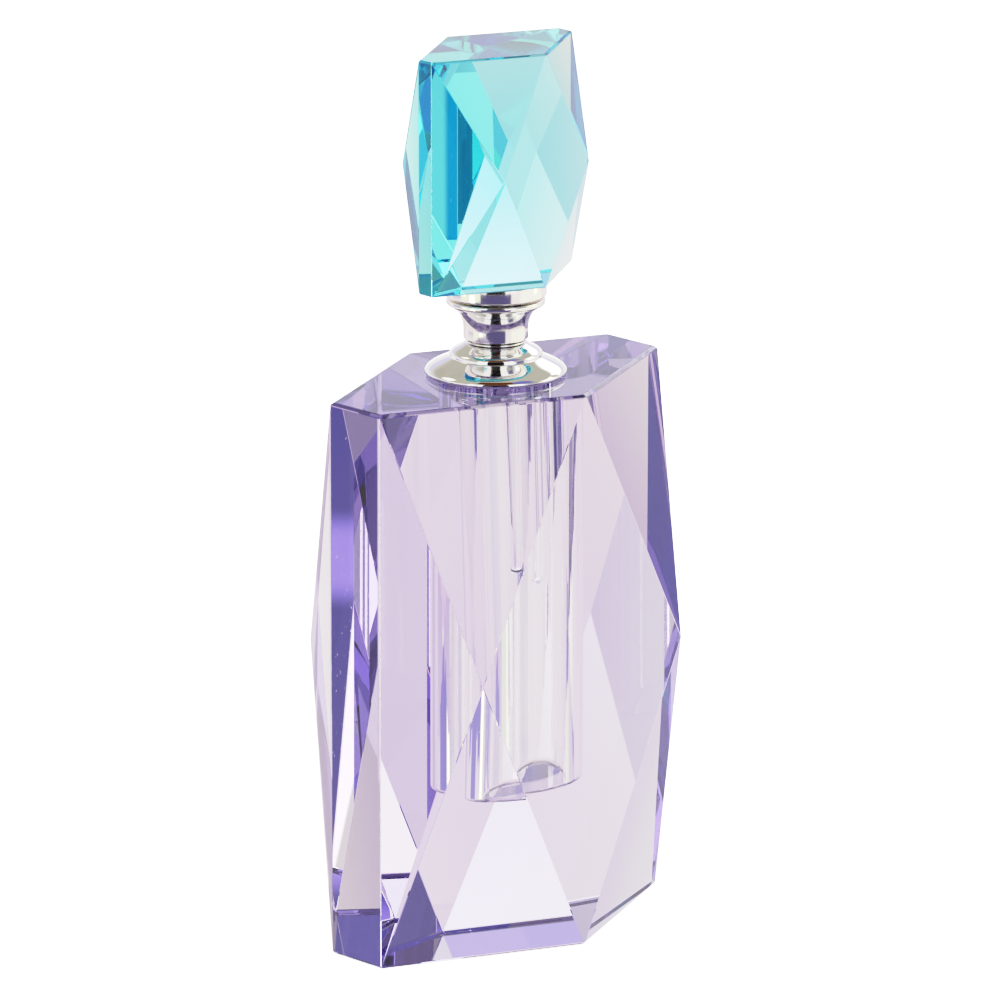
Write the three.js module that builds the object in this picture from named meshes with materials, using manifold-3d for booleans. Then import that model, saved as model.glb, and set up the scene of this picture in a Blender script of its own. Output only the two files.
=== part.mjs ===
// Faceted crystal perfume bottle with a screw stopper and a glass dabber.
// Millimetres, +Z up, origin at the centre of the base. The front face looks along -Y.

import * as THREE from 'three';
import { mergeVertices } from 'three/addons/utils/BufferGeometryUtils.js';
import Module from 'manifold-3d';

const wasm = await Module();
wasm.setup();

// ---------------------------------------------------------------- driving dimensions

// Cut block of the bottle. Every block is unchanged by half a turn about the vertical axis,
// so its plan needs only the corners of one half. The four girdle corners are the points
// of the plan, halfway up, where the upper and lower facets meet.
const BOTTLE = {
  height: 91,
  girdle: 47.2,
  end: [-31.7, -6.1],
  shoulder: [-28.2, -17],
  frontGirdle: [-14.4, -25.9],
  sideGirdle: [27.3, -12],
  frontSplit: 0.51,
  rimChamfer: 0.7,
};

// Cut block of the stopper, in its own frame.
const CRYSTAL = {
  height: 37.9,
  girdle: 18.95,
  end: [-15.4, -6.4],
  shoulder: [-14.3, -9.2],
  frontGirdle: [-3.7, -13.7],
  sideGirdle: [14.2, -4.4],
  frontSplit: 0.484,
  rimChamfer: 0.4,
};
// Where the thread comes tight, the stopper's faces stand this far from the bottle's.
const TIGHT_ANGLE = THREE.MathUtils.degToRad(-4.5);

const BORE_RADIUS = 9.1;
const BORE_FLOOR = 25;

// Heights of the fittings above the top face of the bottle.
const PLUG_DEPTH = 3;
const FLANGE_RADIUS = 11.4;
const FLANGE_TIER_RADIUS = 7.5;
const FLANGE_TOP = 5.1;
const SPIGOT_RADIUS = 4;
const SPIGOT_BORE = 2.6;
const SPIGOT_TOP = 9.6;
const BEAD_RADIUS = 4.8;
const SKIRT_FOOT = 6;
const SKIRT_RADIUS = 5.2;
const SKIRT_FLARE_RADIUS = 6.4;
const SKIRT_TOP = 11.2;
const SKIRT_BORE = 4.5;
const RING_RADIUS = 7.95;
const RING_TOP = 12.6;
const SEAT_RADIUS = 8.15;
const SEAT_TOP = 15.4;
const CRYSTAL_FOOT = 15.6;

// Glass dabber, a tapered rod hanging in the bore.
const ROD_TIP = -33.5;
const ROD_TIP_RADIUS = 1.6;
const ROD_RADIUS = 2.2;
const ROD_TOP = 12.4;

// Clearances
const GLUE_GAP = 0.15;
const PLUG_GAP = 0.3;
const RUNNING_GAP = 0.3;

const ROUND_STEPS = 48;
const BORE_STEPS = 72;
const RIB_COUNT = 36;

// ---------------------------------------------------------------- materials

function finish(color, roughness, metalness, opacity = 1) {
  return new THREE.MeshStandardMaterial({ color, roughness, metalness, opacity, transparent: opacity < 1 });
}

const lilacCrystal = () => finish(0xd9cde2, 0.02, 0, 0.5);
const aquaCrystal = () => finish(0xbfeaf0, 0.02, 0, 0.5);
const clearGlass = () => finish(0xf2f4f6, 0.03, 0, 0.4);
const chrome = () => finish(0xd4d2cc, 0.06, 1);
const nickel = () => finish(0xc3c2bd, 0.2, 1);
const whitePlastic = () => finish(0xf1f0ec, 0.45, 0);

// ---------------------------------------------------------------- cut crystal

// The plane through three points, as { normal, offset }, facing away from `inside`.
function planeThrough(a, b, c, inside) {
  const normal = new THREE.Vector3().crossVectors(b.clone().sub(a), c.clone().sub(a)).normalize();
  if (normal.dot(inside) > normal.dot(a)) {
    normal.negate();
  }
  return { normal, offset: normal.dot(a) };
}

// A flat cut that takes the edge between two planes away and leaves a face `width` wide.
function chamferPlane(first, second, pointOnEdge, width) {
  const normal = first.normal.clone().add(second.normal).normalize();
  const halfAngle = first.normal.angleTo(second.normal) / 2;
  const depth = (width / 2) * Math.tan(halfAngle);
  return { normal, offset: normal.dot(pointOnEdge) - depth };
}

function halfTurned(point) {
  return new THREE.Vector3(-point.x, -point.y, point.z);
}

// All the planes that the cutter's wheel leaves on a block. The plan's corners, going round,
// are end, shoulder, front and then the same three half a turn on. `front` lies on the long
// vertical plane through the two girdle corners, `frontSplit` of the way along it.
function blockPlanes(cut) {
  const inside = new THREE.Vector3(0, 0, cut.height / 2);
  const [frontX, frontY] = cut.frontGirdle;
  const [sideX, sideY] = cut.sideGirdle;
  const front = [
    frontX + cut.frontSplit * (sideX - frontX),
    frontY + cut.frontSplit * (sideY - frontY),
  ];
  const planes = [];
  const rims = [0, cut.height];
  const point = (plan, z) => new THREE.Vector3(plan[0], plan[1], z);
  const addPair = (a, b, c) => {
    const pair = [
      planeThrough(a, b, c, inside),
      planeThrough(halfTurned(a), halfTurned(b), halfTurned(c), inside),
    ];
    planes.push(...pair);
    return pair;
  };

  const opposite = [-cut.end[0], -cut.end[1]];
  const endFaces = addPair(point(cut.end, 0), point(cut.shoulder, 0), point(cut.end, cut.height));
  addPair(point(cut.shoulder, 0), point(cut.frontGirdle, 0), point(cut.shoulder, cut.height));
  addPair(point(cut.frontGirdle, 0), point(cut.sideGirdle, 0), point(front, cut.height));
  addPair(point(cut.sideGirdle, 0), point(opposite, 0), point(opposite, cut.height));

  for (const rim of rims) {
    const cap = planeThrough(point([0, 0], rim), point([1, 0], rim), point([0, 1], rim), inside);
    const frontFaces = addPair(point(cut.shoulder, rim), point(front, rim), point(cut.frontGirdle, cut.girdle));
    const sideFaces = addPair(point(front, rim), point(opposite, rim), point(cut.sideGirdle, cut.girdle));
    planes.push(cap);
    const edges = [
      [endFaces, point(cut.end, rim)],
      [frontFaces, point(front, rim)],
      [sideFaces, point(opposite, rim)],
    ];
    for (const [faces, edgePoint] of edges) {
      planes.push(chamferPlane(cap, faces[0], edgePoint, cut.rimChamfer));
      planes.push(chamferPlane(cap, faces[1], halfTurned(edgePoint), cut.rimChamfer));
    }
  }
  return planes;
}

// The corner where three planes cross, or null where they don't cross in one point.
function crossing(p, q, r) {
  const bend = p.normal.dot(new THREE.Vector3().crossVectors(q.normal, r.normal));
  if (Math.abs(bend) < 1e-5) {
    return null;
  }
  return new THREE.Vector3()
    .addScaledVector(new THREE.Vector3().crossVectors(q.normal, r.normal), p.offset)
    .addScaledVector(new THREE.Vector3().crossVectors(r.normal, p.normal), q.offset)
    .addScaledVector(new THREE.Vector3().crossVectors(p.normal, q.normal), r.offset)
    .divideScalar(bend);
}

// The convex solid behind all the planes, as one closed geometry of flat facets.
function cutBlock(cut) {
  const planes = blockPlanes(cut);
  const tolerance = 1e-4;
  const corners = [];
  for (let i = 0; i < planes.length; i += 1) {
    for (let j = i + 1; j < planes.length; j += 1) {
      for (let k = j + 1; k < planes.length; k += 1) {
        const corner = crossing(planes[i], planes[j], planes[k]);
        const isReal = corner && planes.every((p) => p.normal.dot(corner) < p.offset + tolerance);
        if (isReal && !corners.some((known) => known.distanceTo(corner) < 10 * tolerance)) {
          corners.push(corner);
        }
      }
    }
  }
  const positions = [];
  for (const plane of planes) {
    const rim = corners.filter((c) => Math.abs(plane.normal.dot(c) - plane.offset) < 2 * tolerance);
    if (rim.length < 3) {
      continue;
    }
    const middle = rim.reduce((sum, c) => sum.add(c), new THREE.Vector3()).divideScalar(rim.length);
    const across = rim[0].clone().sub(middle).normalize();
    const up = new THREE.Vector3().crossVectors(plane.normal, across);
    const angleOf = (c) => Math.atan2(c.clone().sub(middle).dot(up), c.clone().sub(middle).dot(across));
    rim.sort((a, b) => angleOf(a) - angleOf(b));
    for (let i = 1; i + 1 < rim.length; i += 1) {
      positions.push(...rim[0].toArray(), ...rim[i].toArray(), ...rim[i + 1].toArray());
    }
  }
  const geometry = new THREE.BufferGeometry();
  geometry.setAttribute('position', new THREE.Float32BufferAttribute(positions, 3));
  return geometry;
}

// ---------------------------------------------------------------- booleans and turning

function toSolid(geometry) {
  const bare = geometry.clone();
  bare.deleteAttribute('normal');
  bare.deleteAttribute('uv');
  const merged = mergeVertices(bare, 1e-4);
  const mesh = new wasm.Mesh({
    numProp: 3,
    vertProperties: new Float32Array(merged.attributes.position.array),
    triVerts: new Uint32Array(merged.index.array),
  });
  return new wasm.Manifold(mesh);
}

function toGeometry(solid) {
  const mesh = solid.getMesh();
  const geometry = new THREE.BufferGeometry();
  geometry.setAttribute('position', new THREE.Float32BufferAttribute(mesh.vertProperties, 3));
  geometry.setIndex(new THREE.Uint32BufferAttribute(mesh.triVerts, 1));
  geometry.computeVertexNormals();
  return geometry;
}

// Turns an outline of [radius, height] pairs about the vertical axis. The outline runs
// anticlockwise, up the outside and down the inside, and closes on itself when it is a ring.
function turned(outline, steps = ROUND_STEPS) {
  const isRing = outline.every(([radius]) => radius > 0);
  const points = outline.map(([radius, height]) => new THREE.Vector2(radius, height));
  if (isRing) {
    points.push(points[0].clone());
  }
  const lathe = new THREE.LatheGeometry(points, steps);
  lathe.rotateX(Math.PI / 2);
  return lathe;
}

// Points of a round stretch of outline, centred on [radius, height].
function arc(centreRadius, centreHeight, radius, fromDegrees, toDegrees, steps) {
  return Array.from({ length: steps + 1 }, (_, i) => {
    const angle = THREE.MathUtils.degToRad(fromDegrees + ((toDegrees - fromDegrees) * i) / steps);
    return [centreRadius + radius * Math.cos(angle), centreHeight + radius * Math.sin(angle)];
  });
}

// ---------------------------------------------------------------- pieces of the bottle

const group = new THREE.Group();

function addPiece(name, geometry, material, height = 0) {
  const mesh = new THREE.Mesh(geometry, material);
  mesh.name = name;
  mesh.position.z = height;
  group.add(mesh);
  return mesh;
}

// Block with a flat-bottomed bore drilled from its top face.
function bottleBlock() {
  const drill = turned(
    [
      [0, BORE_FLOOR],
      [BORE_RADIUS, BORE_FLOOR],
      [BORE_RADIUS, BOTTLE.height + 1],
      [0, BOTTLE.height + 1],
    ],
    BORE_STEPS,
  );
  return toGeometry(toSolid(cutBlock(BOTTLE)).subtract(toSolid(drill)));
}

// Ribbed bush glued into the mouth of the bore. Its ribs are a star-shaped outline.
function borePlug() {
  const outerRadius = BORE_RADIUS - PLUG_GAP;
  const ribDepth = 0.5;
  const outline = new THREE.Shape();
  for (let i = 0; i < RIB_COUNT * 2; i += 1) {
    const radius = i % 2 === 0 ? outerRadius : outerRadius - ribDepth;
    const angle = (i * Math.PI) / RIB_COUNT;
    const x = radius * Math.cos(angle);
    const y = radius * Math.sin(angle);
    if (i === 0) {
      outline.moveTo(x, y);
    } else {
      outline.lineTo(x, y);
    }
  }
  outline.closePath();
  const hole = new THREE.Path();
  hole.absarc(0, 0, SPIGOT_RADIUS + GLUE_GAP, 0, Math.PI * 2, true);
  outline.holes.push(hole);
  return new THREE.ExtrudeGeometry(outline, {
    depth: PLUG_DEPTH,
    bevelEnabled: false,
    curveSegments: ROUND_STEPS / 2,
  });
}

// Two-tier domed cover plate that hides the bore's mouth.
function neckFlange() {
  const hole = SPIGOT_RADIUS + GLUE_GAP;
  const lipHeight = 0.9;
  const grooveHeight = 2.9;
  return turned([
    [hole, 0],
    [FLANGE_RADIUS - 0.5, 0],
    [FLANGE_RADIUS - 0.1, 0.35],
    [FLANGE_RADIUS, lipHeight],
    [FLANGE_RADIUS - 0.7, 1.55],
    [FLANGE_RADIUS - 1.9, 2.15],
    [FLANGE_TIER_RADIUS + 0.3, grooveHeight],
    [FLANGE_TIER_RADIUS, grooveHeight + 0.15],
    [FLANGE_TIER_RADIUS - 0.25, grooveHeight + 0.75],
    [FLANGE_TIER_RADIUS - 1.1, grooveHeight + 1.35],
    [BEAD_RADIUS + 0.6, FLANGE_TOP - 0.25],
    [BEAD_RADIUS + 0.1, FLANGE_TOP],
    [hole, FLANGE_TOP],
  ]);
}

// Tube that carries the thread, with a bead that clamps the cover plate.
// Its thread is left as a plain cylinder at the crest radius.
function neckSpigot() {
  const beadFoot = FLANGE_TOP + 2 * GLUE_GAP;
  const beadTop = SKIRT_FOOT - RUNNING_GAP;
  const leadIn = 0.4;
  return turned([
    [SPIGOT_BORE, -PLUG_DEPTH],
    [SPIGOT_RADIUS, -PLUG_DEPTH],
    [SPIGOT_RADIUS, beadFoot],
    [BEAD_RADIUS, beadFoot],
    [BEAD_RADIUS, beadTop - 0.15],
    [BEAD_RADIUS - 0.15, beadTop],
    [SPIGOT_RADIUS, beadTop],
    [SPIGOT_RADIUS, SPIGOT_TOP - leadIn],
    [SPIGOT_RADIUS - leadIn, SPIGOT_TOP],
    [SPIGOT_BORE + 0.2, SPIGOT_TOP],
    [SPIGOT_BORE, SPIGOT_TOP - 0.2],
  ]);
}

// ---------------------------------------------------------------- pieces of the stopper

// Washer threaded on the dabber, squeezed between the spigot's mouth and the cap.
function sealWasher() {
  const foot = SPIGOT_TOP + 0.1;
  return turned([
    [ROD_RADIUS + 0.15, foot],
    [SKIRT_BORE - RUNNING_GAP, foot],
    [SKIRT_BORE - RUNNING_GAP, foot + 0.9],
    [ROD_RADIUS + 0.15, foot + 0.9],
  ]);
}

// Sleeve in the roof of the cap that grips the head of the dabber.
function rodHolder() {
  const foot = SKIRT_TOP - 0.3;
  const collarTop = foot + 0.35;
  const top = ROD_TOP + 0.5;
  return turned([
    [0, ROD_TOP + 0.05],
    [ROD_RADIUS + 0.05, ROD_TOP + 0.05],
    [ROD_RADIUS + 0.05, foot],
    [SKIRT_BORE - 0.35, foot],
    [SKIRT_BORE - 0.35, collarTop],
    [SKIRT_BORE - 0.6, collarTop],
    [SKIRT_BORE - 0.6, top],
    [0, top],
  ]);
}

// Tapered glass rod with a rounded tip.
function dabberRod() {
  const corner = 0.6;
  return turned(
    [
      [0, ROD_TIP],
      ...arc(ROD_TIP_RADIUS - corner, ROD_TIP + corner, corner, -90, 0, 3),
      [ROD_RADIUS, SPIGOT_TOP - 6],
      [ROD_RADIUS, ROD_TOP],
      [0, ROD_TOP],
    ],
    ROUND_STEPS / 2,
  );
}

// Waisted shell that screws on the spigot. Its inside is a plain cylinder at the root radius.
function capSkirt() {
  const flareFoot = SKIRT_FOOT + 1.5;
  const flareHeight = SKIRT_TOP - 0.4 - flareFoot;
  const flareSteps = 6;
  const flare = Array.from({ length: flareSteps + 1 }, (_, i) => {
    const t = i / flareSteps;
    return [SKIRT_RADIUS + (SKIRT_FLARE_RADIUS - SKIRT_RADIUS) * t ** 2.2, flareFoot + flareHeight * t];
  });
  return turned([
    [SKIRT_BORE, SKIRT_FOOT],
    [SKIRT_RADIUS - 0.15, SKIRT_FOOT],
    [SKIRT_RADIUS, SKIRT_FOOT + 0.15],
    ...flare,
    [SKIRT_FLARE_RADIUS, SKIRT_TOP],
    [SKIRT_BORE, SKIRT_TOP],
  ]);
}

// Ring with a coned underside, between the skirt and the seat.
function capRing() {
  return turned([
    [SKIRT_BORE - 0.3, SKIRT_TOP + 0.05],
    [SKIRT_FLARE_RADIUS, SKIRT_TOP + 0.05],
    [SKIRT_FLARE_RADIUS + 0.1, SKIRT_TOP - 0.35],
    [RING_RADIUS - 0.15, SKIRT_TOP + 0.45],
    [RING_RADIUS, SKIRT_TOP + 0.7],
    [RING_RADIUS - 0.1, RING_TOP - 0.3],
    [RING_RADIUS - 0.5, RING_TOP],
    [SKIRT_BORE - 0.3, RING_TOP],
  ]);
}

// Shallow plate that the crystal is bonded to.
function stopperSeat() {
  const foot = RING_TOP + 0.35;
  return turned([
    [0, foot],
    [SEAT_RADIUS - 0.3, foot],
    [SEAT_RADIUS, foot + 0.3],
    [SEAT_RADIUS, SEAT_TOP - 0.2],
    [SEAT_RADIUS - 0.2, SEAT_TOP],
    [0, SEAT_TOP],
  ]);
}

// ---------------------------------------------------------------- assembly

addPiece('bottle_block', bottleBlock(), lilacCrystal());
addPiece('bore_plug', borePlug(), nickel(), BOTTLE.height - PLUG_DEPTH);
addPiece('neck_flange', neckFlange(), chrome(), BOTTLE.height + GLUE_GAP);
addPiece('neck_spigot', neckSpigot(), nickel(), BOTTLE.height);
addPiece('seal_washer', sealWasher(), whitePlastic(), BOTTLE.height);
addPiece('rod_holder', rodHolder(), whitePlastic(), BOTTLE.height);
addPiece('dabber_rod', dabberRod(), clearGlass(), BOTTLE.height);
addPiece('cap_skirt', capSkirt(), chrome(), BOTTLE.height);
addPiece('cap_ring', capRing(), chrome(), BOTTLE.height);
addPiece('stopper_seat', stopperSeat(), chrome(), BOTTLE.height);

const stopperCrystal = addPiece(
  'stopper_crystal',
  cutBlock(CRYSTAL),
  aquaCrystal(),
  BOTTLE.height + CRYSTAL_FOOT,
);
stopperCrystal.rotation.z = TIGHT_ANGLE;

export default group;
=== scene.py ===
import itertools
import math

import bpy
import numpy as np
from bpy.props import FloatProperty, FloatVectorProperty, IntProperty, PointerProperty
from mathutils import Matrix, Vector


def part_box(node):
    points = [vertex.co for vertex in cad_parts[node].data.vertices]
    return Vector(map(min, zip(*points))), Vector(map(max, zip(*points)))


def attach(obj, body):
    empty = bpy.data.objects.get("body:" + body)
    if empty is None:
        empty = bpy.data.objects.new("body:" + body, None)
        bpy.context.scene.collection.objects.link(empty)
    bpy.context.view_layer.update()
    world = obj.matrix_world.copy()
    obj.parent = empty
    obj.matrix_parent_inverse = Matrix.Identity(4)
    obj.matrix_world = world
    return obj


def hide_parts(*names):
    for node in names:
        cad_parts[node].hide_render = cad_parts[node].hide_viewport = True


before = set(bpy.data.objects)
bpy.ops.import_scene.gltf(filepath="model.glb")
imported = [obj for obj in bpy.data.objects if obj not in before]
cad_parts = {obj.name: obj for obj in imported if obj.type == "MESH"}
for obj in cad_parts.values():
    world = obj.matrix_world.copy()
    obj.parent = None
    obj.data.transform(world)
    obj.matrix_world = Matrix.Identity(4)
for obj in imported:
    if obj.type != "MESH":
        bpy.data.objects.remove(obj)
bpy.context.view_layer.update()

bl_info = {
    "name": "Crystal perfume bottle",
    "version": (1, 0, 0),
    "blender": (4, 5, 0),
    "location": "View3D > Sidebar > Perfume Bottle",
    "description": "Makes the crystal, the fittings, the dabber and the studio of a perfume bottle",
    "category": "Object",
}

MM = 0.001
PANEL_TAB = "Perfume Bottle"

# Tolerances for the planes and corners of a cut block, in metres unless they say otherwise.
SLIVER = 1e-12  # twice the area, in square metres, of a triangle too thin to give a plane
PROUD = 5e-6  # how far a point may stand in front of a facet's plane
SAME_WAY = 0.99995  # cosine between the normals of one and the same facet
NO_CORNER = 1e-5  # determinant of three normals that don't meet in a point
CUT_OFF = 2e-7  # how far a corner may stand in front of a plane
SAME_CORNER = 5e-6  # corners closer than this are one corner
ON_PLANE = 2e-6  # a corner this close to a plane is on it

# Angles between faces above which an edge stays sharp.
BLOCK_CREASE = math.radians(4)
TURNED_CREASE = math.radians(30)
FITTING_CREASE = math.radians(35)
THREAD_CREASE = math.radians(40)

# Share of the cover plate's radius that its hole takes, which the plug's hole matches.
PLATE_HOLE_SHARE = 0.365

# Radius, in millimetres, of the tiny disc that closes a solid turned piece on its axis.
AXIS_GAP = 0.02

# Length of glass that the crystal colours are stated for.
COLOUR_LENGTH = 10 * MM

# How often light may pass or bounce inside the glass and between bright metal.
GLASS_BOUNCES = 32
METAL_BOUNCES = 16

# Sideways and upward shift of the camera's frame, as shares of its width.
FRAME_SHIFT = (0.0042, -0.001)


# ---------------------------------------------------------------------------
# Places read from the CAD nodes
# ---------------------------------------------------------------------------


def box(node):
    """Lowest and highest corner of a CAD node at rest, as numpy arrays."""
    low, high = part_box(node)
    return np.array(low), np.array(high)


TOP_FACE = float(box("bottle_block")[1][2])


def node_mesh(node):
    """Vertices and triangles of a CAD node, as whole arrays."""
    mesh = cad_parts[node].data
    mesh.calc_loop_triangles()
    points = np.empty(len(mesh.vertices) * 3, np.float32)
    corners = np.empty(len(mesh.loop_triangles) * 3, np.int32)
    mesh.vertices.foreach_get("co", points)
    mesh.loop_triangles.foreach_get("vertices", corners)
    return points.reshape(-1, 3).astype(float), corners.reshape(-1, 3)


# ---------------------------------------------------------------------------
# Shapes: cut blocks
# ---------------------------------------------------------------------------


def facet_planes(node):
    """Planes of a cut block, as rows of a unit normal and a distance.

    A triangle of the CAD solid lies on a facet when the whole solid is behind its plane.
    The plane of each facet is taken from its largest triangle.
    """
    points, triangles = node_mesh(node)
    a, b, c = (points[triangles[:, i]] for i in range(3))
    normals = np.cross(b - a, c - a)
    size = np.linalg.norm(normals, axis=1)
    real = size > SLIVER
    normals, size, a = normals[real] / size[real, None], size[real], a[real]
    distances = np.einsum("ij,ij->i", normals, a)
    outside = (points @ normals.T - distances).max(axis=0)
    keep = outside < PROUD
    normals, size, distances = normals[keep], size[keep], distances[keep]
    order = np.argsort(-size)
    planes = np.column_stack([normals[order], distances[order]])
    first = np.array([not np.any(planes[:i, :3] @ planes[i, :3] > SAME_WAY) for i in range(len(planes))])
    return planes[first]


def half_space_corners(planes):
    """Corners of the convex solid behind all the planes.

    Every three planes are crossed at once by solving a stack of 3 by 3 systems, and a
    crossing is a corner when no plane cuts it off. Equal corners are merged.
    """
    triples = np.array(list(itertools.combinations(range(len(planes)), 3)))
    normals = planes[triples][:, :, :3]
    distances = planes[triples][:, :, 3]
    solvable = np.abs(np.linalg.det(normals)) > NO_CORNER
    crossings = np.linalg.solve(normals[solvable], distances[solvable][..., None])[..., 0]
    inside = (crossings @ planes[:, :3].T <= planes[:, 3] + CUT_OFF).all(axis=1)
    crossings = crossings[inside]
    _, first = np.unique(np.round(crossings / SAME_CORNER), axis=0, return_index=True)
    return crossings[first]


def facets_of(planes, corners):
    """The corners on each plane, in order round the plane's normal."""
    faces = []
    for plane in planes:
        on_plane = np.nonzero(np.abs(corners @ plane[:3] - plane[3]) < ON_PLANE)[0]
        if len(on_plane) < 3:
            continue
        rim = corners[on_plane] - corners[on_plane].mean(axis=0)
        across = rim[0] / np.linalg.norm(rim[0])
        up = np.cross(plane[:3], across)
        faces.append(on_plane[np.argsort(np.arctan2(rim @ up, rim @ across))])
    return faces


def edge_planes(planes, corners, faces, width):
    """Planes that take every edge away and leave a face of the given width.

    The new plane's normal is halfway between those of the two facets that meet, and its
    depth below the edge is half the width times the tangent of half the angle between them.
    """
    sets = [set(face) for face in faces]
    owners = [plane for plane in planes if np.sum(np.abs(corners @ plane[:3] - plane[3]) < ON_PLANE) > 2]
    cuts = []
    for i, j in itertools.combinations(range(len(faces)), 2):
        shared = list(sets[i] & sets[j])
        if len(shared) < 2:
            continue
        normal = owners[i][:3] + owners[j][:3]
        normal /= np.linalg.norm(normal)
        half_angle = math.acos(np.clip(owners[i][:3] @ normal, -1.0, 1.0))
        depth = 0.5 * width * math.tan(half_angle)
        cuts.append([*normal, corners[shared].mean(axis=0) @ normal - depth])
    return np.array(cuts)


def cut_block_mesh(node, edge_width):
    """Mesh of a cut block with every edge lightly rounded by a narrow polished face."""
    planes = facet_planes(node)
    corners = half_space_corners(planes)
    faces = facets_of(planes, corners)
    planes = np.vstack([planes, edge_planes(planes, corners, faces, edge_width)])
    corners = half_space_corners(planes)
    faces = facets_of(planes, corners)
    mesh = bpy.data.meshes.new(node)
    mesh.from_pydata(corners.tolist(), [], [face.tolist() for face in faces])
    return mesh


# ---------------------------------------------------------------------------
# Shapes: turned pieces
# ---------------------------------------------------------------------------


def arc(centre, radius, start, stop, steps):
    """Points of a round stretch of profile: centre plus radius at angles from start to stop."""
    angles = np.radians(np.linspace(start, stop, steps + 1))
    return np.column_stack([centre[0] + radius * np.cos(angles), centre[1] + radius * np.sin(angles)])


def turned_grid(profile, steps, swell=None):
    """Grid of points of a profile of (radius, height) turned about the vertical axis.

    swell(angle, height) is an extra radius added to each point, for ribs and threads.
    """
    angles = np.linspace(0.0, 2.0 * math.pi, steps, endpoint=False)
    radius = np.repeat(profile[:, :1], steps, axis=1)
    height = np.repeat(profile[:, 1:], steps, axis=1)
    angle = np.broadcast_to(angles, radius.shape)
    if swell is not None:
        radius = radius + swell(angle, height)
    return np.stack([radius * np.cos(angle), radius * np.sin(angle), height], axis=-1)


def grid_mesh(name, grid, is_ring, is_open=False):
    """Mesh over a grid whose columns go round the axis.

    A ring's rows close on themselves. Otherwise the first and last rows are closed by a flat
    cap, unless the mesh is left open. Two columns make a card, with a face for each side.
    """
    rows, steps = grid.shape[:2]
    index = np.arange(rows * steps).reshape(rows, steps)
    lower = index if is_ring else index[:-1]
    upper = np.roll(index, -1, axis=0) if is_ring else index[1:]
    quads = np.stack(
        [lower, np.roll(lower, -1, axis=1), np.roll(upper, -1, axis=1), upper], axis=-1
    ).reshape(-1, 4)
    faces = quads.tolist()
    if not is_ring and not is_open:
        faces.append(index[0][::-1].tolist())
        faces.append(index[-1].tolist())
    mesh = bpy.data.meshes.new(name)
    mesh.from_pydata(grid.reshape(-1, 3).tolist(), [], faces)
    return mesh


def bezier(start, start_pull, end_pull, end, steps):
    """Points of a cubic curve: the four points weighted by (1-t)^3, 3t(1-t)^2, 3t^2(1-t) and t^3."""
    t = np.linspace(0.0, 1.0, steps + 1)[:, None]
    weights = [(1 - t) ** 3, 3 * t * (1 - t) ** 2, 3 * t**2 * (1 - t), t**3]
    return sum(w * np.array(p, float) for w, p in zip(weights, (start, start_pull, end_pull, end)))


def lifted(profile, height):
    """A profile given in millimetres above a datum, as metres above the base."""
    return np.array(profile, float) * MM + (0.0, height)


# ---------------------------------------------------------------------------
# Shader expressions
# ---------------------------------------------------------------------------


class Signal:
    """A shader socket used as a number: each Python operation on it adds a Math node."""

    def __init__(self, shader, socket):
        self.shader = shader
        self.socket = socket

    def _math(self, operation, *values):
        return self.shader.add("ShaderNodeMath", {"operation": operation}, dict(enumerate(values)))

    def __add__(self, other):
        return self._math("ADD", self, other)

    def __sub__(self, other):
        return self._math("SUBTRACT", self, other)

    def __rsub__(self, other):
        return self._math("SUBTRACT", other, self)

    def __mul__(self, other):
        return self._math("MULTIPLY", self, other)

    __radd__ = __add__
    __rmul__ = __mul__

    def absolute(self):
        return self._math("ABSOLUTE", self)

    def arc_sine(self):
        return self._math("ARCSINE", self)

    def arc_tangent(self, other):
        return self._math("ARCTAN2", self, other)

    def above(self, edge, softness):
        """0 below edge, 1 above edge plus softness, and a smooth step between."""
        steps = {"From Min": edge, "From Max": edge + softness, "Value": self}
        return self.shader.add("ShaderNodeMapRange", {"interpolation_type": "SMOOTHSTEP"}, steps)


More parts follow.
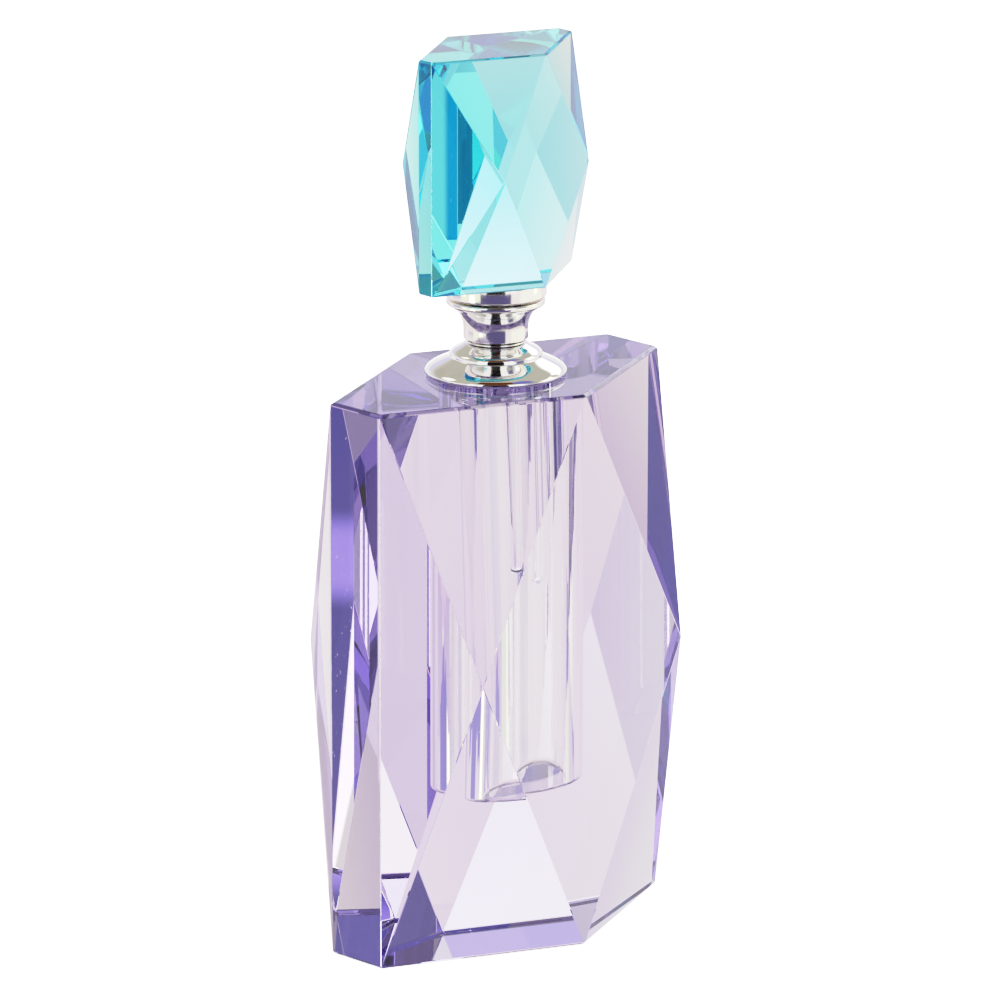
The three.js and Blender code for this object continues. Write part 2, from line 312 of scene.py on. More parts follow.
class Shader:
    """Nodes of one material. add() makes any node from its type, its settings and its inputs."""

    def __init__(self, name):
        self.open(bpy.data.materials.new(name), "ShaderNodeOutputMaterial", "Object")

    def open(self, owner, output_kind, coordinates):
        """Empties the node tree of a material or a world and says which coordinates place it."""
        self.owner = owner
        owner.use_nodes = True
        self.tree = owner.node_tree
        self.tree.nodes.clear()
        self.output = self.tree.nodes.new(output_kind)
        self.place = self.add("ShaderNodeTexCoord", output=coordinates)

    def add(self, kind, settings=None, inputs=None, output=0):
        node = self.tree.nodes.new(kind)
        for name, value in (settings or {}).items():
            if name == "stops":
                self._set_stops(node.color_ramp, value)
            else:
                setattr(node, name, value)
        for name, value in (inputs or {}).items():
            socket = node.inputs[name]
            if isinstance(value, Signal):
                self.tree.links.new(value.socket, socket)
            else:
                socket.default_value = value
        return Signal(self, node.outputs[output])

    @staticmethod
    def _set_stops(ramp, stops):
        while len(ramp.elements) > 1:
            ramp.elements.remove(ramp.elements[-1])
        ramp.elements[0].position, ramp.elements[0].color = stops[0]
        for position, colour in stops[1:]:
            ramp.elements.new(position).color = colour

    def noise(self, scale, stretch=(1.0, 1.0, 1.0), detail=2.0):
        """Noise over the piece, drawn out along the axes whose stretch is below 1."""
        mapped = self.add("ShaderNodeMapping", None, {"Vector": self.place, "Scale": stretch})
        inputs = {"Vector": mapped, "Scale": scale, "Detail": detail, "Roughness": 0.5}
        return self.add("ShaderNodeTexNoise", None, inputs, output="Fac")

    def seen_from(self, azimuth):
        """How far a place or a direction lies to the right, away and up for a viewer there."""
        turned = self.add(
            "ShaderNodeVectorRotate",
            {"rotation_type": "Z_AXIS"},
            {"Vector": self.place, "Angle": -azimuth},
        )
        return [self.add("ShaderNodeSeparateXYZ", None, {"Vector": turned}, output=axis) for axis in "XYZ"]

    def bump(self, height, strength, distance):
        inputs = {"Height": height, "Strength": strength, "Distance": distance}
        return self.add("ShaderNodeBump", None, inputs)

    def mix(self, factor, first, second):
        """Colour between first and second. Inputs are given by number, since a Mix node repeats its names."""
        return self.add(
            "ShaderNodeMix", {"data_type": "RGBA"}, {0: factor, 6: first, 7: second}, output=2
        )

    def finish(self, surface, volume=None):
        self.tree.links.new(surface.socket, self.output.inputs["Surface"])
        if volume is not None:
            self.tree.links.new(volume.socket, self.output.inputs["Volume"])
        return self.owner


class SkyShader(Shader):
    """Nodes of a world, placed by two angles in degrees as seen from the bottle.

    `side` is the angle round from the camera, positive to the right of it, and `rise` is the
    angle above the horizon.
    """

    def __init__(self, name, azimuth):
        self.open(bpy.data.worlds.new(name), "ShaderNodeOutputWorld", "Generated")
        right, away, up = self.seen_from(azimuth)
        self.side = right.arc_tangent(0 - away) * math.degrees(1)
        self.rise = up.arc_sine() * math.degrees(1)

    def panel(self, side, rise, width, height, softness):
        """1 inside a soft-edged panel of light that stands at these two angles."""
        gap = (self.side - side).absolute()
        beside = (180 - (180 - gap).absolute()).above(width / 2, softness)
        over = (self.rise - rise).absolute().above(height / 2, softness)
        return (1 - beside) * (1 - over)


def crystal(name, clearness, ior):
    """Polished crystal. clearness is the share of each colour that is left after 10 mm of glass.

    The colour comes only from absorption, so thin stretches are pale and the long ways
    that light takes round the facets are deep.
    """
    shader = Shader(name)
    absorbed = -np.log(np.array(clearness)) / COLOUR_LENGTH
    # A little above the strongest absorption, so that every part of the colour stays above 0.
    density = float(absorbed.max()) * 1.1
    colour = [float(1.0 - a / density) for a in absorbed] + [1.0]
    specks = shader.noise(1600.0, detail=0.0).above(0.82, 0.03)
    surface = shader.add(
        "ShaderNodeBsdfPrincipled",
        None,
        {
            "Base Color": (1.0, 1.0, 1.0, 1.0),
            "Roughness": specks * 0.12,
            "IOR": ior,
            "Transmission Weight": 1.0,
        },
    )
    volume = shader.add("ShaderNodeVolumeAbsorption", None, {"Color": colour, "Density": density})
    return shader.finish(surface, volume)


def clear_glass(name):
    """Fire-polished clear glass, drawn into a rod, so its faint ripples run along it."""
    shader = Shader(name)
    ripple = shader.noise(400.0, stretch=(1.0, 1.0, 0.04), detail=1.0)
    surface = shader.add(
        "ShaderNodeBsdfPrincipled",
        None,
        {
            "Base Color": (0.985, 0.99, 0.99, 1.0),
            "Roughness": 0.01,
            "IOR": 1.5,
            "Transmission Weight": 1.0,
            "Normal": shader.bump(ripple, 0.05, 0.1 * MM),
        },
    )
    return shader.finish(surface)


def plated(name, colour, roughness, wear):
    """Bright metal plate with faint hairline scratches round it and slightly duller patches."""
    shader = Shader(name)
    patches = shader.noise(260.0, detail=3.0)
    hairlines = shader.noise(900.0, stretch=(0.3, 0.3, 6.0), detail=2.0)
    dull = patches.above(0.45, 0.3) * wear
    surface = shader.add(
        "ShaderNodeBsdfPrincipled",
        None,
        {
            "Base Color": shader.mix(dull, (*colour, 1.0), (*[c * 0.93 for c in colour], 1.0)),
            "Metallic": 1.0,
            "Roughness": roughness + dull * 0.08,
            "Normal": shader.bump(hairlines, 0.03, 0.02 * MM),
        },
    )
    return shader.finish(surface)


def polythene(name):
    """Natural white polythene, satin, with a fine moulded grain."""
    shader = Shader(name)
    grain = shader.noise(3000.0, detail=2.0)
    cloud = shader.noise(250.0, detail=2.0)
    surface = shader.add(
        "ShaderNodeBsdfPrincipled",
        None,
        {
            "Base Color": shader.mix(cloud, (0.86, 0.855, 0.83, 1.0), (0.8, 0.8, 0.78, 1.0)),
            "Roughness": 0.38 + cloud * 0.15,
            "IOR": 1.51,
            "Subsurface Weight": 0.15,
            "Subsurface Scale": 1.5 * MM,
            "Normal": shader.bump(grain, 0.15, 0.03 * MM),
        },
    )
    return shader.finish(surface)


# ---------------------------------------------------------------------------
# Finishing pieces
# ---------------------------------------------------------------------------


def add_piece(mesh, material, body, node, smooth_angle=None):
    """Puts a mesh in the scene as a piece of the bottle and says what it stands for."""
    piece = bpy.data.objects.new(mesh.name, mesh)
    bpy.context.scene.collection.objects.link(piece)
    mesh.materials.clear()
    mesh.materials.append(material)
    if smooth_angle is None:
        mesh.shade_flat()
    else:
        mesh.shade_smooth()
        mesh.set_sharp_from_angle(angle=smooth_angle)
    mesh.validate()
    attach(piece, body)
    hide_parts(node)
    return piece


def difference(mesh, cutter):
    """The mesh with the cutter's shape taken away, worked out by the Boolean modifier."""
    blank = bpy.data.objects.new("blank", mesh)
    tool = bpy.data.objects.new("tool", cutter)
    for item in (blank, tool):
        bpy.context.scene.collection.objects.link(item)
    modifier = blank.modifiers.new("drill", "BOOLEAN")
    modifier.operation = "DIFFERENCE"
    modifier.solver = "EXACT"
    modifier.object = tool
    depsgraph = bpy.context.evaluated_depsgraph_get()
    result = bpy.data.meshes.new_from_object(blank.evaluated_get(depsgraph))
    result.name = mesh.name
    bpy.data.objects.remove(blank)
    bpy.data.objects.remove(tool)
    return result


def turned_size(node):
    """Outer radius, foot and top of a turned CAD node."""
    low, high = box(node)
    return float(high[0] - low[0]) / 2, float(low[2]), float(high[2])


def above_face(height):
    """A height above the bottle's top face, in millimetres."""
    return (height - TOP_FACE) / MM


# ---------------------------------------------------------------------------
# Sizes and colours
# ---------------------------------------------------------------------------


class BottleSettings(bpy.types.PropertyGroup):
    """Finish of the cut crystal and of the fittings."""

    edge_width: FloatProperty(
        name="Edge width",
        description="Width of the polished face that breaks each edge of the block",
        default=0.18 * MM,
        unit="LENGTH",
    )
    crystal_edge_width: FloatProperty(
        name="Stopper edge width",
        description="Width of the polished face that breaks each edge of the stopper's crystal",
        default=0.12 * MM,
        unit="LENGTH",
    )
    lilac: FloatVectorProperty(
        name="Lilac",
        description="Share of red, green and blue left after 10 mm of the bottle's glass",
        default=(0.90, 0.8825, 0.951),
        subtype="COLOR",
        size=3,
    )
    aqua: FloatVectorProperty(
        name="Aqua",
        description="Share of red, green and blue left after 10 mm of the stopper's glass",
        default=(0.60, 0.915, 0.955),
        subtype="COLOR",
        size=3,
    )
    index: FloatProperty(name="Index", description="Refractive index of the crystal", default=1.52)
    flute_depth: FloatProperty(
        name="Flute depth",
        description="Depth of the faint upright flutes that the drill leaves in the bore",
        default=0.006 * MM,
        unit="LENGTH",
    )
    chrome: FloatVectorProperty(
        name="Chrome",
        description="Colour of the chrome plate",
        default=(0.83, 0.83, 0.82),
        subtype="COLOR",
        size=3,
    )
    pitch: FloatProperty(
        name="Pitch", description="Rise of the thread in one turn", default=1.5 * MM, unit="LENGTH"
    )
    round_steps: IntProperty(
        name="Round steps", description="Faces round each turned piece", default=192, min=24
    )


class StudioSettings(bpy.types.PropertyGroup):
    """Camera and light of the studio."""

    azimuth: FloatProperty(
        name="Azimuth",
        description="Direction of the camera round the bottle, from the front face",
        default=math.radians(-25.2),
        subtype="ANGLE",
    )
    elevation: FloatProperty(
        name="Elevation",
        description="Height of the camera above the horizon",
        default=math.radians(14.7),
        subtype="ANGLE",
    )
    distance: FloatProperty(
        name="Distance", description="From the camera to the bottle", default=1.519, unit="LENGTH"
    )
    aim_height: FloatProperty(
        name="Aim height", description="Height that the camera looks at", default=0.0703, unit="LENGTH"
    )
    lens: FloatProperty(name="Lens", description="Focal length in millimetres", default=341.6)


# ---------------------------------------------------------------------------
# Pieces
# ---------------------------------------------------------------------------


class PERFUME_OT_block(bpy.types.Operator):
    """Cut block of lilac crystal with its drilled bore"""

    bl_idname = "perfume.block"
    bl_label = "Bottle block"

    def execute(self, context):
        settings = context.scene.perfume_bottle
        blank = cut_block_mesh("bottle_block", settings.edge_width)
        block = difference(blank, self.bore(settings))
        block.name = "crystal_block"
        add_piece(
            block,
            crystal("lilac_crystal", settings.lilac, settings.index),
            "bottle",
            "bottle_block",
            smooth_angle=BLOCK_CREASE,
        )
        return {"FINISHED"}

    @staticmethod
    def bore(settings):
        """Drill shape: flat floor, small corner round, and a wall with faint upright flutes.

        The flutes are a sum of sine waves round the axis whose counts share no factor, so
        they never repeat.
        """
        points, _ = node_mesh("bottle_block")
        near_axis = turned_size("bore_plug")[0] * 1.1
        wall = points[np.hypot(points[:, 0], points[:, 1]) < near_axis]
        radius = float(np.hypot(wall[:, 0], wall[:, 1]).max())
        floor = float(wall[:, 2].min())
        corner = 0.7 * MM
        lip = 0.3 * MM
        profile = np.vstack(
            [
                [[0.05 * MM, floor]],
                arc((radius - corner, floor + corner), corner, -90, 0, 8),
                [[radius, TOP_FACE - lip], [radius + 2 * lip, TOP_FACE + lip]],
            ]
        )

        def flutes(angle, height):
            waves = [(31, 0.4), (47, 1.3), (73, 2.1), (101, 0.2), (139, 4.0)]
            return settings.flute_depth * sum(np.sin(count * angle + turn) / 5 for count, turn in waves)

        return grid_mesh("bore", turned_grid(profile, 720, flutes), is_ring=False)


class PERFUME_OT_stopper_crystal(bpy.types.Operator):
    """Cut block of aqua crystal bonded to the cap"""

    bl_idname = "perfume.stopper_crystal"
    bl_label = "Stopper crystal"

    def execute(self, context):
        settings = context.scene.perfume_bottle
        mesh = cut_block_mesh("stopper_crystal", settings.crystal_edge_width)
        mesh.name = "crystal_stopper"
        add_piece(
            mesh,
            crystal("aqua_crystal", settings.aqua, settings.index),
            "stopper",
            "stopper_crystal",
        )
        return {"FINISHED"}


class PERFUME_OT_bore_plug(bpy.types.Operator):
    """Ribbed bush in the mouth of the bore"""

    bl_idname = "perfume.bore_plug"
    bl_label = "Bore plug"

    def execute(self, context):
        settings = context.scene.perfume_bottle
        radius, foot, top = turned_size("bore_plug")
        hole = turned_size("neck_flange")[0] * PLATE_HOLE_SHARE
        rib_count = 36
        rib_depth = 0.4 * MM
        edge = 0.15 * MM
        mid = radius - rib_depth / 2
        profile = np.array(
            [
                [hole, foot],
                [mid - edge, foot],
                [mid, foot + edge],
                [mid, top - edge],
                [mid - edge, top],
                [hole, top],
            ]
        )

        def ribs(angle, height):
            # A cosine round the axis, flattened by its square root. The first and last points of
            # the profile are on the hole, which stays round.
            wave = np.cos(rib_count * angle)
            outer = np.where(np.arange(len(profile))[:, None] % (len(profile) - 1) == 0, 0.0, 1.0)
            return outer * rib_depth / 2 * np.sign(wave) * np.abs(wave) ** 0.5

        mesh = grid_mesh("ribbed_plug", turned_grid(profile, 720, ribs), is_ring=True)
        material = plated("nickel", (0.72, 0.71, 0.69), 0.16, 1.0)
        add_piece(mesh, material, "bottle", "bore_plug", smooth_angle=FITTING_CREASE)
        return {"FINISHED"}


class PERFUME_OT_neck(bpy.types.Operator):
    """Domed cover plate and threaded spigot"""

    bl_idname = "perfume.neck"
    bl_label = "Neck"

    def execute(self, context):
        settings = context.scene.perfume_bottle
        steps = settings.round_steps
        chrome = plated("chrome", settings.chrome, 0.035, 1.0)
        plate = grid_mesh("cover_plate", turned_grid(self.plate(), steps), is_ring=True)
        add_piece(plate, chrome, "bottle", "neck_flange", smooth_angle=FITTING_CREASE)
        spigot = self.spigot(settings)
        add_piece(
            spigot,
            plated("spigot_nickel", settings.chrome, 0.08, 1.0),
            "bottle",
            "neck_spigot",
            smooth_angle=THREAD_CREASE,
        )
        return {"FINISHED"}

    @staticmethod
    def plate():
        """Flat underside out to the rim, then the outer dome, the groove and the inner dome."""
        radius, foot, top = turned_size("neck_flange")
        rim = radius / MM
        height = (top - foot) / MM
        tier = rim - 3.9
        hole = rim * PLATE_HOLE_SHARE
        profile = np.vstack(
            [
                [[hole, 0.0]],
                [[rim - 0.6, 0.0]],
                arc((rim - 0.5, 0.5), 0.5, -80, 50, 8),
                bezier((rim - 0.3, 1.05), (rim - 1.0, 1.75), (tier + 1.5, 2.2), (tier + 0.35, 2.78), 14),
                bezier((tier + 0.2, 2.86), (tier + 0.05, 2.95), (tier, 3.0), (tier - 0.02, 3.15), 4),
                bezier((tier - 0.05, 3.3), (tier - 0.2, 4.0), (tier - 1.2, 4.3), (5.5, height - 0.32), 12),
                bezier((5.3, height - 0.2), (5.15, height - 0.1), (5.0, height), (4.8, height), 4),
                [[hole, height]],
            ]
        )
        return lifted(profile, foot)

    @staticmethod
    def spigot(settings):
        """Tube with a bead and a thread. The thread's ridge is a smooth bump of the phase
        of height over pitch minus angle over a turn, faded out at both ends."""
        radius, foot, top = turned_size("neck_spigot")
        bead = radius / MM
        crest = turned_size("seal_washer")[0] / MM - 0.25
        root = crest - 0.45
        bore = 2.6
        low, high = above_face(foot), above_face(top)
        bead_foot, bead_top = 5.4, 5.7
        thread = np.column_stack([np.full(90, root), np.linspace(bead_top + 0.3, high - 0.35, 90)])
        profile = np.vstack(
            [
                [[bore, low], [root + 0.2, low], [root + 0.2, bead_foot - 0.05]],
                arc((bead - 0.16, (bead_foot + bead_top) / 2), 0.16, -90, 90, 8),
                [[root + 0.1, bead_top]],
                thread,
                [[root - 0.2, high - 0.05], [root - 0.3, high], [bore + 0.2, high], [bore, high - 0.2]],
            ]
        )
        start, stop = (bead_top + 0.5) * MM + TOP_FACE, (high - 0.6) * MM + TOP_FACE
        run_out = 0.4 * MM

        def ridge(angle, height):
            phase = (height / settings.pitch - angle / (2 * math.pi)) % 1.0
            shape = np.clip(1.4 * np.cos(2 * math.pi * (phase - 0.5)), 0.0, 1.0)
            fade = np.clip((height - start) / run_out, 0, 1) * np.clip((stop - height) / run_out, 0, 1)
            return shape * fade * (crest - root) * MM

        grid = turned_grid(lifted(profile, TOP_FACE), 240, ridge)
        return grid_mesh("threaded_spigot", grid, is_ring=True)


class PERFUME_OT_dabber(bpy.types.Operator):
    """Glass dabber rod, its holder and the sealing washer"""

    bl_idname = "perfume.dabber"
    bl_label = "Dabber"

    def execute(self, context):
        steps = context.scene.perfume_bottle.round_steps
        white = polythene("white_plastic")
        rod = grid_mesh("dabber", turned_grid(self.rod(), steps // 2), is_ring=False)
        add_piece(rod, clear_glass("clear_glass"), "dabber", "dabber_rod", TURNED_CREASE)
        holder = grid_mesh("dabber_holder", turned_grid(self.holder(), steps), is_ring=False)
        add_piece(holder, white, "dabber", "rod_holder", TURNED_CREASE)
        washer = grid_mesh("washer", turned_grid(self.washer(), steps), is_ring=True)
        add_piece(washer, white, "seal", "seal_washer", TURNED_CREASE)
        return {"FINISHED"}

    @staticmethod
    def rod():
        """Straight head, then a long taper to a rounded tip."""
        radius, tip, top = turned_size("dabber_rod")
        end = 1.6 * MM
        corner = 0.75 * MM
        straight = TOP_FACE + 3.6 * MM
        bevel = 0.2 * MM
        return np.vstack(
            [
                [[AXIS_GAP * MM, tip]],
                arc((end - corner, tip + corner), corner, -88, 0, 10),
                [[radius, straight], [radius, top - bevel], [radius - bevel, top], [AXIS_GAP * MM, top]],
            ]
        )

    @staticmethod
    def holder():
        """Sleeve with a roof over the head of the rod, an opened mouth and a wider foot."""
        radius, foot, top = turned_size("rod_holder")
        rod_radius, _, rod_top = turned_size("dabber_rod")
        gap = 0.05 * MM
        shoulder = radius - 0.25 * MM
        return np.array(
            [
                [AXIS_GAP * MM, rod_top + gap],
                [rod_radius + gap, rod_top + gap],
                [rod_radius + gap, foot + 0.1 * MM],
                [rod_radius + 3 * gap, foot],
                [radius - gap, foot],
                [radius, foot + gap],
                [radius, foot + 0.35 * MM],
                [shoulder, foot + 0.35 * MM],
                [shoulder, top - gap],
                [shoulder - gap, top],
                [AXIS_GAP * MM, top],
            ]
        )

    @staticmethod
    def washer():
        """Flat ring whose outer edges are quarter circles."""
        radius, foot, top = turned_size("seal_washer")
        hole = turned_size("dabber_rod")[0] + 0.15 * MM
        edge = 0.12 * MM
        rim = arc((radius - edge, foot + edge), edge, -90, 0, 3)
        brim = arc((radius - edge, top - edge), edge, 0, 90, 3)
        return np.vstack([[[hole, foot]], rim, brim, [[hole, top]]])


class PERFUME_OT_cap(bpy.types.Operator):
    """Waisted cap, its ring and the seat of the crystal"""

    bl_idname = "perfume.cap"
    bl_label = "Cap"

    def execute(self, context):
        settings = context.scene.perfume_bottle
        steps = settings.round_steps
        chrome = bpy.data.materials["chrome"]
        for name, profile, node, is_ring in (
            ("waisted_cap", self.skirt(), "cap_skirt", True),
            ("coned_ring", self.ring(), "cap_ring", True),
            ("seat", self.seat(), "stopper_seat", False),
        ):
            mesh = grid_mesh(name, turned_grid(profile, steps), is_ring)
            add_piece(mesh, chrome, "stopper", node, smooth_angle=TURNED_CREASE)
        return {"FINISHED"}

    @staticmethod
    def skirt():
        """Straight waist, then a flare whose radius grows with height to the power 2.2."""
        radius, foot, top = turned_size("cap_skirt")
        waist = 5.2
        flare = radius / MM
        bore = 4.5
        low, high = above_face(foot), above_face(top)
        t = np.linspace(0.0, 1.0, 33)
        flare_radius = waist + (flare - waist) * t**2.2
        flare_height = low + 1.5 + (high - 0.4 - low - 1.5) * t
        flare_curve = np.column_stack([flare_radius, flare_height])
        profile = np.vstack(
            [
                [[bore, low + 0.1], [bore + 0.1, low]],
                arc((waist - 0.15, low + 0.15), 0.15, -90, 0, 6),
                flare_curve,
                [[flare, high], [bore, high]],
            ]
        )
        return lifted(profile, TOP_FACE)

    @staticmethod
    def ring():
        """Coned underside, rounded rim and a flat top."""
        radius, foot, top = turned_size("cap_ring")
        rim = radius / MM
        low, high = above_face(foot), above_face(top)
        inner, seam = 4.2, 6.45
        pulls = (seam + 0.3, low + 0.12), (rim - 0.5, low + 0.6), (rim, low + 0.75), (rim, low + 1.1)
        profile = np.vstack(
            [
                [[inner, low + 0.4], [seam - 0.05, low + 0.4]],
                arc((seam + 0.1, low + 0.1), 0.1, 180, 300, 4),
                bezier(*pulls, 10),
                arc((rim - 0.35, high - 0.35), 0.35, 0, 90, 8),
                [[inner, high]],
            ]
        )
        return lifted(profile, TOP_FACE)

    @staticmethod
    def seat():
        """Plate with a rounded lower edge."""
        radius, foot, top = turned_size("stopper_seat")
        rim = radius / MM
        low, high = above_face(foot), above_face(top)
        profile = np.vstack(
            [
                [[AXIS_GAP, low]],
                arc((rim - 0.35, low + 0.35), 0.35, -90, 0, 8),
                arc((rim - 0.15, high - 0.15), 0.15, 0, 90, 5),
                [[AXIS_GAP, high]],
            ]
        )
        return lifted(profile, TOP_FACE)


# ---------------------------------------------------------------------------
# Studio
# ---------------------------------------------------------------------------

# Light from each height above the horizon, in degrees, as linear colours.
SKY_RISES = (
    (-90.0, (0.3, 0.26, 0.4)),
    (-60.0, (0.5, 0.45, 0.5)),
    (-38.0, (0.95, 0.88, 0.8)),
    (-28.0, (1.25, 1.08, 1.04)),
    (-12.0, (1.42, 1.25, 1.22)),
    (4.0, (1.5, 1.4, 1.35)),
    (13.0, (1.3, 1.25, 1.3)),
    (18.0, (0.95, 0.92, 0.95)),
    (30.0, (0.61, 0.58, 0.49)),
    (90.0, (0.61, 0.58, 0.49)),
)

# Each panel: angle round from the camera, angle above the horizon, width, height and softness
# of its edge, all in degrees, and then its colour. Later panels stand in front.
SKY_PANELS = (
    ((88.0, -12.0, 52.0, 14.0, 8.0), (1.9, 1.86, 1.4)),  # wide warm band, low on the right
    ((118.0, -15.0, 10.0, 6.0, 4.0), (1.9, 1.8, 1.4)),  # warm patch, low at the right back
    ((124.0, -6.0, 14.0, 6.0, 4.0), (1.35, 1.28, 0.98)),  # dimmer warm patch above it
    ((101.0, -8.5, 6.0, 4.0, 2.5), (4.3, 4.2, 2.9)),  # bright glint on the right
    ((103.0, 24.0, 26.0, 18.0, 5.0), (3.4, 3.3, 3.0)),  # bright sheet, high on the right
    ((180.0, -3.0, 30.0, 8.0, 5.0), (2.4, 2.25, 2.35)),  # bright strip behind, at the horizon
    ((180.0, 18.5, 60.0, 5.0, 3.0), (0.85, 0.8, 1.25)),  # violet strip behind, above it
    ((-146.0, -13.0, 12.0, 16.0, 8.0), (1.0, 0.92, 0.99)),  # pale patch, low at the left back
    ((138.0, -5.0, 10.0, 8.0, 3.0), (0.45, 0.42, 0.5)),  # dim patch at the right back
    ((146.0, -23.0, 8.0, 6.0, 3.0), (0.7, 0.64, 0.7)),  # dim patch below it
    ((-104.0, 42.0, 16.0, 10.0, 5.0), (2.5, 2.5, 2.2)),  # bright sheet, high on the left
    ((150.0, 28.0, 30.0, 12.0, 5.0), (3.6, 3.6, 3.6)),  # bright sheet, high at the right back
    ((-30.0, -13.0, 110.0, 6.0, 4.0), (1.5, 1.65, 1.05)),  # green-yellow band across the front
    ((-20.0, -27.0, 60.0, 14.0, 5.0), (0.16, 0.17, 0.45)),  # violet shade below it
    ((-100.0, -5.0, 24.0, 14.0, 6.0), (0.55, 0.5, 0.85)),  # violet shade on the left
    ((-77.0, -8.5, 8.0, 4.0, 3.0), (5.0, 4.6, 2.6)),  # bright glint on the left
    ((-55.0, -15.0, 8.0, 4.0, 3.0), (8.0, 8.0, 5.0)),  # brighter glint at the left front
    ((63.0, 15.0, 16.0, 14.0, 6.0), (0.22, 0.22, 0.4)),  # dark patch at the right front
    ((64.0, 55.0, 30.0, 16.0, 8.0), (0.22, 0.21, 0.6)),  # dark blue patch high above it
    ((34.0, 20.0, 24.0, 50.0, 3.0), (2.0, 2.0, 2.0)),  # tall soft box, right of the camera
    ((-34.0, 20.0, 24.0, 50.0, 3.0), (2.0, 2.0, 2.0)),  # tall soft box, left of the camera
)

# Film response: scene light over WHITE_LIGHT, and the share of full white it gives.
WHITE_LIGHT = 2.5
FILM_RESPONSE = ((0.2, 0.49), (0.294, 0.69), (0.432, 0.815), (0.668, 0.9), (0.84, 0.96))


class PERFUME_OT_stage(bpy.types.Operator):
    """Pale floor, soft light and camera"""

    bl_idname = "perfume.stage"
    bl_label = "Studio"

    def execute(self, context):
        settings = context.scene.perfume_studio
        self.floor()
        self.sky(settings)
        # Glowing card that holds the bottle's painted violet shadow and painted caustic light.
        self.card("painted_shadow_card", settings, (90, 120), (17.0, 24.5), (-32.0, 56.0), self.painted_shadow_streak, False)
        self.card("teal_card", settings, (90, 200), (-62.0, 26.0), (66.0, 112.0), self.teal_shade, False)
        self.card("dark_gap", settings, (0, 600), (-235.0, 235.0), (20.0, 650.0), self.dark_cloth, True)
        self.card("table_edge", settings, (0, 600), (-420.0, 420.0), (-420.0, 18.0), self.violet_table, True)
        self.card("beam", settings, (0, 300), (-290.0, 290.0), (400.0, 1100.0), self.brown_wood, True)
        self.camera(context, settings)
        scene = context.scene
        self.film(scene.view_settings)
        scene.cycles.max_bounces = GLASS_BOUNCES
        scene.cycles.transmission_bounces = GLASS_BOUNCES
        scene.cycles.glossy_bounces = METAL_BOUNCES
        scene.cycles.caustics_refractive = True
        return {"FINISHED"}

    @staticmethod
    def floor():
        """White paper that lies on the table and sweeps up into a wall all round.

        It is only a backdrop: the glass and the metal take their light from the sky.
        """
        level = -0.05 * MM
        flat = [(radius, level) for radius in (0.001, 0.2, 0.6, 1.5, 2.6)]
        wall = [(3.5, 0.9), (3.5, 4.0)]
        profile = np.vstack([flat, bezier((2.6, level), (0.5, 0.0), (0.0, -0.5), (3.5, 0.9), 12), wall])
        grid = turned_grid(profile, 96)[::-1]
        mesh = grid_mesh("floor", grid, is_ring=False, is_open=True)
        shader = Shader("paper")
        tone = shader.noise(40.0, detail=3.0)
        surface = shader.add(
            "ShaderNodeBsdfPrincipled",
            None,
            {
                "Base Color": shader.mix(tone, (0.8, 0.8, 0.8, 1.0), (0.77, 0.77, 0.77, 1.0)),
                "Roughness": 0.9,
                "Specular IOR Level": 0.1,
                "Emission Color": (1.0, 1.0, 1.0, 1.0),
                "Emission Strength": 2.0,
            },
        )
        mesh.materials.append(shader.finish(surface))
        floor = bpy.data.objects.new("floor", mesh)
        bpy.context.scene.collection.objects.link(floor)
        floor.visible_transmission = False
        floor.visible_glossy = False

    @staticmethod
    def sky(settings):
        """All the light in the glass: a tone for each height, and the panels over it."""
        shader = SkyShader("studio", settings.azimuth)
        stops = [((rise + 90) / 180, (*tone, 1.0)) for rise, tone in SKY_RISES]
        height = (shader.rise + 90) * (1 / 180)
        colour = shader.add("ShaderNodeValToRGB", {"stops": stops}, {"Fac": height})
        for panel, tone in SKY_PANELS:
            colour = shader.mix(shader.panel(*panel), colour, (*tone, 1.0))
        bpy.context.scene.world = shader.finish(
            shader.add("ShaderNodeBackground", None, {"Color": colour, "Strength": 1.0})
        )

    @staticmethod
    def card(name, settings, stand, edges, heights, paint, is_mirrored):
        """Upright card that faces the bottle and isn't seen by the camera.

        stand is the angle round from the camera, in degrees, and the distance. edges and heights
        bound the card, and paint(shader, along, up) gives its colour. All are in millimetres,
        with `along` going to the right in front of the bottle and away from the camera beside
        it. A mirrored card is met by reflections, and any other by rays from inside the crystal.
        """
        side, distance = stand
        across, depth = math.sin(math.radians(side)), math.cos(math.radians(side))
        a = settings.azimuth
        right = np.array([math.cos(a), math.sin(a), 0.0])
        away = np.array([-math.sin(a), math.cos(a), 0.0])
        centre = (right * across - away * depth) * distance
        along = right * depth + away * across
        grid = [[centre + along * edge + (0.0, 0.0, height) for edge in edges] for height in heights]
        card = bpy.data.objects.new(name, grid_mesh(name, np.array(grid) * MM, is_ring=False, is_open=True))
        shader = Shader(name)
        to_right, to_back, up = (part * 1000 for part in shader.seen_from(a))
        colour = paint(shader, to_right * depth + to_back * across, up)
        glow = shader.add("ShaderNodeEmission", None, {"Color": colour, "Strength": 1.0})
        card.data.materials.append(shader.finish(glow))
        bpy.context.scene.collection.objects.link(card)
        card.visible_camera = False
        card.visible_diffuse = False
        card.visible_shadow = False
        card.visible_glossy = is_mirrored
        card.visible_transmission = not is_mirrored

    @staticmethod
    def painted_shadow_streak(shader, away, up):
        """Painted violet shadow of the bottle, crossed by a slanting band of painted caustic light."""
        patch = up.above(17.0, 6.0) * (1 - up.above(30.0, 6.0))
        shade = shader.mix(patch, (0.14, 0.13, 0.42, 1.0), (0.85, 0.68, 1.5, 1.0))
        edge = (away - up * 0.085).above(21.4, 0.45)
        far = (away - up * 0.21).above(25.7, 0.5)
        lit = shader.mix(far, (5.5, 5.4, 3.8, 1.0), (1.72, 1.78, 1.1, 1.0))
        return shader.mix(edge, shade, lit)

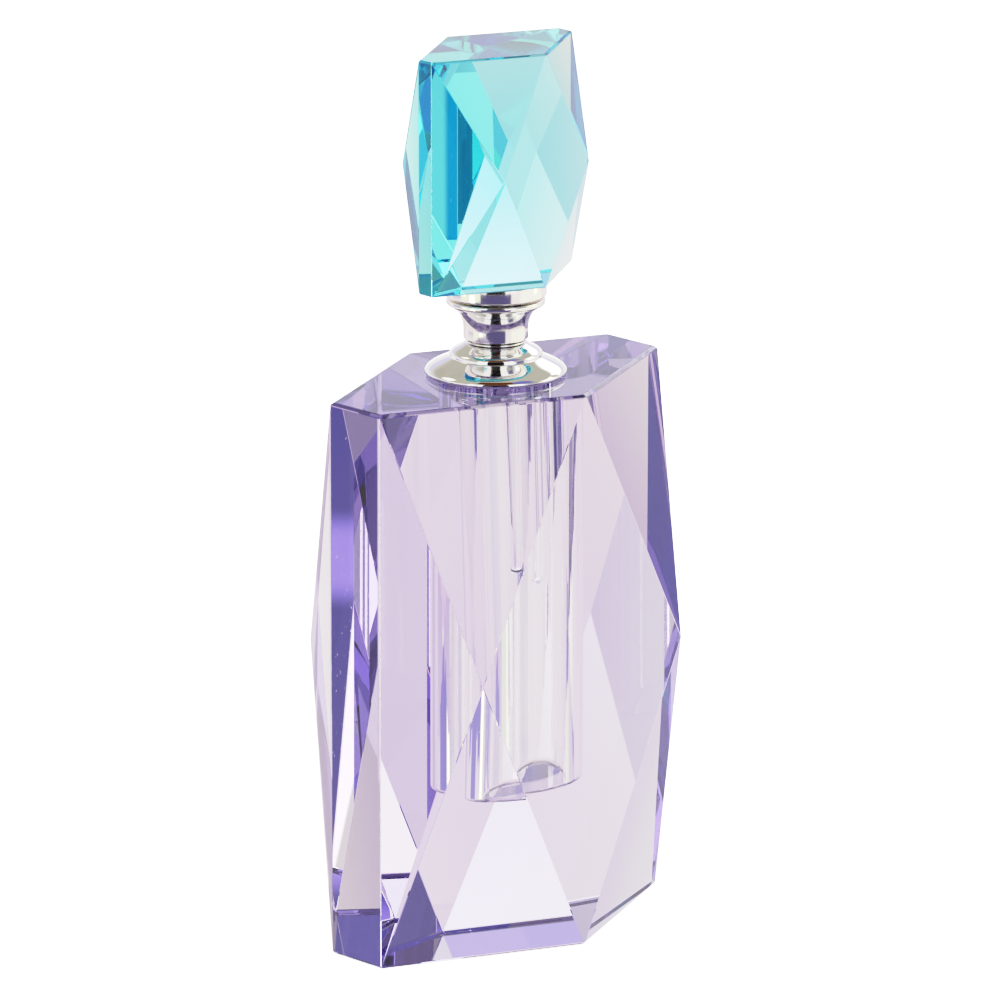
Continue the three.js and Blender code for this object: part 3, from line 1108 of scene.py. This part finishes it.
    @staticmethod
    def teal_shade(shader, away, up):
        """Shade with a bright strip in it, between a dark side and a teal side."""
        lit = shader.mix(away.above(-40.0, 20.0), (0.02, 0.24, 0.4, 1.0), (1.1, 1.15, 1.05, 1.0))
        return shader.mix(away.above(18.2, 1.3), lit, (0.01, 0.5, 0.8, 1.0))

    @staticmethod
    def dark_cloth(shader, along, up):
        """Black cloth in front of the camera, a little lighter at its edges."""
        edge = along.absolute().above(205.0, 30.0)
        return shader.mix(edge, (0.008, 0.008, 0.009, 1.0), (0.05, 0.05, 0.055, 1.0))

    @staticmethod
    def violet_table(shader, along, up):
        """Table in front, violet in the bottle's shade and pale close to it."""
        return shader.mix(up.above(-330.0, 160.0), (0.8, 0.77, 0.7, 1.0), (0.13, 0.11, 0.27, 1.0))

    @staticmethod
    def brown_wood(shader, along, up):
        """Dark brown wood overhead, redder at its lower edge."""
        return shader.mix(up.above(420.0, 300.0), (0.2, 0.045, 0.012, 1.0), (0.13, 0.035, 0.01, 1.0))

    @staticmethod
    def film(view):
        """Bright light is pressed together towards white, the way film does it."""
        view.view_transform = "Standard"
        view.use_curve_mapping = True
        mapping = view.curve_mapping
        mapping.white_level = (WHITE_LIGHT, WHITE_LIGHT, WHITE_LIGHT)
        for light, tone in FILM_RESPONSE:
            mapping.curves[3].points.new(light, tone)
        mapping.update()

    @staticmethod
    def camera(context, settings):
        """Camera on a sphere round the point that it looks at."""
        data = bpy.data.cameras.new("camera")
        data.lens = settings.lens
        data.shift_x, data.shift_y = FRAME_SHIFT
        data.clip_end = 20.0
        camera = bpy.data.objects.new("camera", data)
        context.scene.collection.objects.link(camera)
        a, e = settings.azimuth, settings.elevation
        back = np.array([math.sin(a) * math.cos(e), -math.cos(a) * math.cos(e), math.sin(e)])
        camera.location = back * settings.distance + (0.0, 0.0, settings.aim_height)
        camera.rotation_euler = (math.pi / 2 - e, 0.0, a)
        context.scene.camera = camera


# ---------------------------------------------------------------------------
# Add-on
# ---------------------------------------------------------------------------

OPERATORS = (
    PERFUME_OT_block,
    PERFUME_OT_bore_plug,
    PERFUME_OT_neck,
    PERFUME_OT_dabber,
    PERFUME_OT_cap,
    PERFUME_OT_stopper_crystal,
    PERFUME_OT_stage,
)


class PERFUME_PT_panel(bpy.types.Panel):
    """Sidebar panel that lists the pieces"""

    bl_label = "Perfume Bottle"
    bl_idname = "PERFUME_PT_panel"
    bl_space_type = "VIEW_3D"
    bl_region_type = "UI"
    bl_category = PANEL_TAB

    def draw(self, context):
        for group in (context.scene.perfume_bottle, context.scene.perfume_studio):
            for name in group.__annotations__:
                self.layout.prop(group, name)
        for operator in OPERATORS:
            self.layout.operator(operator.bl_idname)


CLASSES = (BottleSettings, StudioSettings, *OPERATORS, PERFUME_PT_panel)


def register():
    for cls in CLASSES:
        bpy.utils.register_class(cls)
    bpy.types.Scene.perfume_bottle = PointerProperty(type=BottleSettings)
    bpy.types.Scene.perfume_studio = PointerProperty(type=StudioSettings)


def unregister():
    del bpy.types.Scene.perfume_studio
    del bpy.types.Scene.perfume_bottle
    for cls in reversed(CLASSES):
        bpy.utils.unregister_class(cls)


def main():
    register()
    for operator in OPERATORS:
        group, name = operator.bl_idname.split(".")
        getattr(getattr(bpy.ops, group), name)()


if __name__ == "__main__":
    main()
